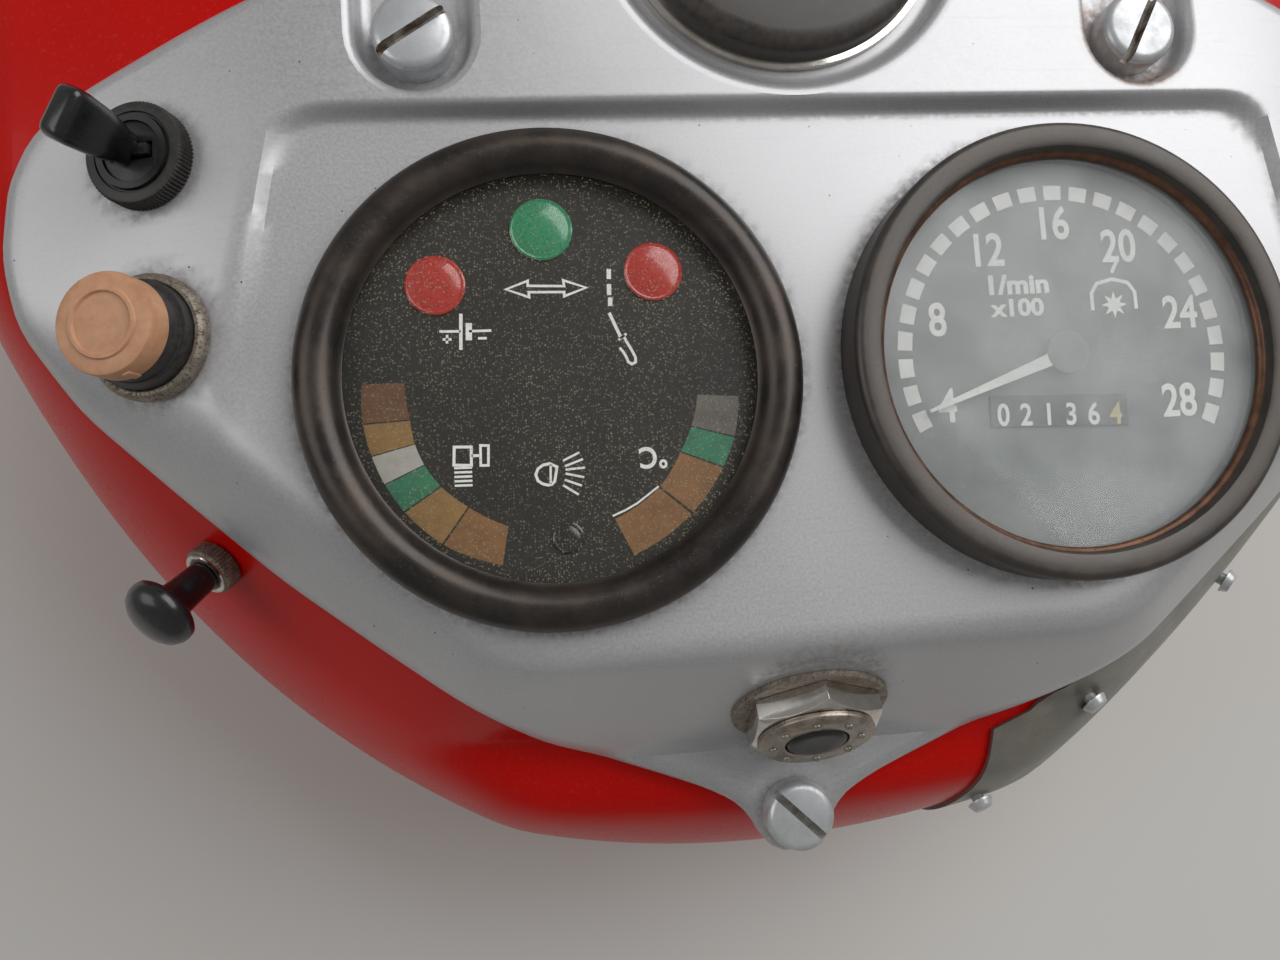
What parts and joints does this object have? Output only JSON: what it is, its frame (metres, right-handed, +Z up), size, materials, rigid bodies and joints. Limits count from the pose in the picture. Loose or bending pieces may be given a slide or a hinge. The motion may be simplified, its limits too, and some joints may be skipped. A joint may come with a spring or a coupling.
{
  "type": "tractor instrument console",
  "caption": "Tractor dashboard console: pressed silver cover on a red sheet cowl, round gauges, key switch, fuse holder, starter button, pull knob and steering-column cap.",
  "frame": {"origin": "centre of the four bolt holes in the frame at the cowl's foot, at the frame's underside", "axes": "+X to the driver's right, +Y forward, away from the driver, +Z up, square to the base frame and the gauge platform"},
  "size_m": [0.428, 0.346, 0.2233],
  "materials": {
    "cowl_red": "gloss enamel, dusty",
    "panel_silver": "satin silver enamel",
    "plate_grey": "satin, dusty",
    "screw_silver": "satin silver enamel, rust in the slots",
    "bezel_dark": "worn black enamel with brown rust",
    "case_steel": "black lacquer",
    "gauge_glass": "clear, dusty",
    "dial_black": "matt print",
    "dial_grey": "matt print, hazed",
    "lens_green": "moulded lens",
    "lens_red": "moulded lens",
    "lens_blue": "moulded lens, unlit",
    "pointer_white": "matt",
    "counter_black": "matt",
    "bracket_zinc": "zinc plated",
    "terminal_brass": "dull",
    "switch_black": "moulded phenolic",
    "fuse_tan": "moulded phenolic",
    "ring_tarnished": "tarnished",
    "nut_chrome": "bright with tarnish",
    "cap_black": "weathered rubber-like plastic"
  },
  "bodies": {
    "console": {"cowl": "cowl_red", "cowl_front_frame": "cowl_red", "cowl_base_frame": "cowl_red", "side_plate": "plate_grey", "side_plate_screws": "screw_silver", "panel_cover": "panel_silver", "panel_screws": "screw_silver", "combi_case": "case_steel", "combi_bezel": "bezel_dark", "combi_glass": "gauge_glass", "combi_dial": "dial_black", "combi_lens_green": "lens_green", "combi_lens_red": "lens_red", "combi_lens_blue": "lens_blue", "combi_bracket": "bracket_zinc", "tacho_case": "case_steel", "tacho_bezel": "bezel_dark", "tacho_glass": "gauge_glass", "tacho_dial": "dial_grey", "tacho_counter": "counter_black", "tacho_bracket": "bracket_zinc", "bracket_nuts": "bracket_zinc", "gauge_terminals": "terminal_brass", "key_switch_body": "switch_black", "key_switch_nut": "switch_black", "fuse_ring": "ring_tarnished", "fuse_holder": "switch_black", "fuse_cap": "fuse_tan", "starter_washer": "ring_tarnished", "starter_nut": "nut_chrome", "starter_bush": "ring_tarnished", "starter_terminals": "terminal_brass", "pull_knob_nut": "ring_tarnished", "column_washer": "nut_chrome", "column_cap": "cap_black", "light_switch_body": "switch_black", "light_switch_nut": "switch_black", "horn_ring": "ring_tarnished", "horn_body": "switch_black"},
    "key": {"key_barrel": "switch_black", "ignition_key": "switch_black"},
    "needle": {"tacho_needle": "pointer_white"},
    "starter": {"starter_button": "switch_black"},
    "horn": {"horn_button": "switch_black"},
    "light_knob": {"light_switch_knob": "switch_black"},
    "stop_knob": {"pull_knob": "switch_black"}
  },
  "joints": [
    {"name": "key_turn", "type": "hinge", "parent": "console", "child": "key", "pos_m": [-0.152, -0.0065, 0.19711], "axis": [-0.2538, 0, 0.9673], "range_deg": [-90, 0]},
    {"name": "needle_turn", "type": "hinge", "parent": "console", "child": "needle", "pos_m": [0.062, -0.062, 0.2024], "axis": [0, 0, 1], "range_deg": [-224, 2]},
    {"name": "starter_press", "type": "slide", "parent": "console", "child": "starter", "axis": [0, 0.848, -0.5299], "range_m": [0, 0.003], "stiffness_N_per_m": 600, "springref_m": -0.002},
    {"name": "horn_press", "type": "slide", "parent": "console", "child": "horn", "axis": [-0.2538, 0, -0.9673], "range_m": [0, 0.003], "stiffness_N_per_m": 600, "springref_m": -0.002},
    {"name": "light_turn", "type": "hinge", "parent": "console", "child": "light_knob", "pos_m": [0.152, -0.0065, 0.19711], "axis": [0.2538, 0, 0.9673], "range_deg": [-60, 0]},
    {"name": "stop_pull", "type": "slide", "parent": "console", "child": "stop_knob", "axis": [-0.5076, -0.5737, 0.6428], "range_m": [0, 0.025]}
  ]
}
